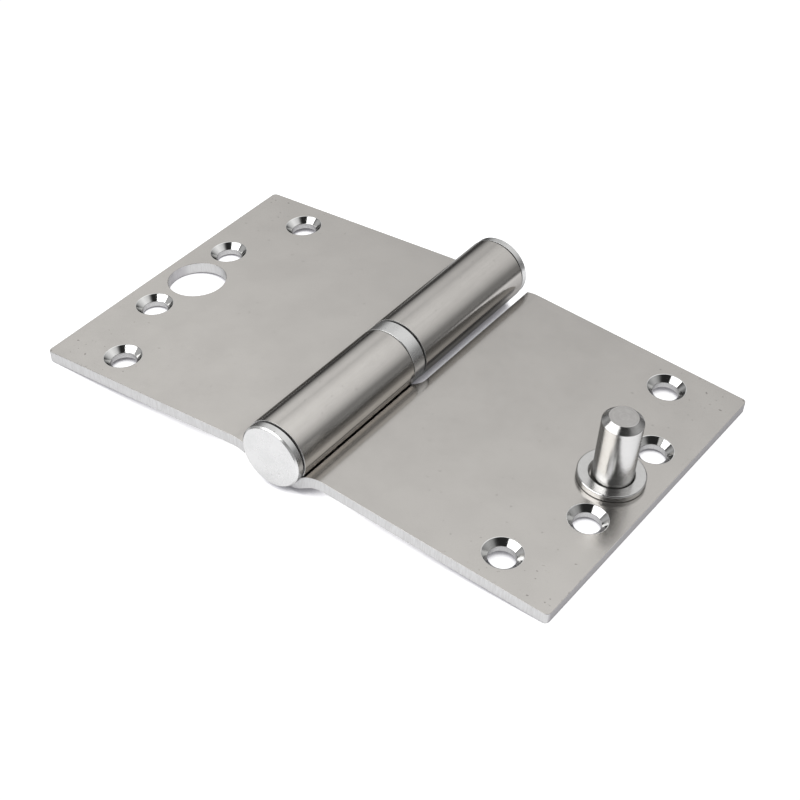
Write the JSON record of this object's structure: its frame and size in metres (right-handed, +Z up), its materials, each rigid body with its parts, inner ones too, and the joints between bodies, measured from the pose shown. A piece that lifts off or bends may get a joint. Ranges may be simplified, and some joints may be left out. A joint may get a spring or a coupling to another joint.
{
  "type": "paumelle hinge",
  "caption": "Lift-off door hinge with two rolled steel leaves on one pin, a bearing ring between the knuckles, countersunk screw holes and a security bolt.",
  "frame": {"origin": "on the surface the open hinge lies on, under the middle of the pin", "axes": "+X across the leaves, towards the frame leaf with the security bolt; +Y along the pin, towards the top plug; +Z up"},
  "size_m": [0.1494, 0.094, 0.0235],
  "materials": {
    "leaf_steel": "satin rolled sheet",
    "zinc_plate": "bright zinc",
    "turned_steel": "bright turned"
  },
  "bodies": {
    "frame": {"frame_leaf": "leaf_steel", "hinge_pin": "zinc_plate", "bearing_ring": "zinc_plate", "security_bolt": "turned_steel", "bolt_collar": "turned_steel"},
    "door": {"door_leaf": "leaf_steel", "top_plug": "zinc_plate"}
  },
  "joints": [
    {"name": "door_swing", "type": "hinge", "parent": "frame", "child": "door", "pos_m": [0, 0, 0.00945], "axis": [0, 1, 0], "range_deg": [-113.9, 187.9]}
  ]
}
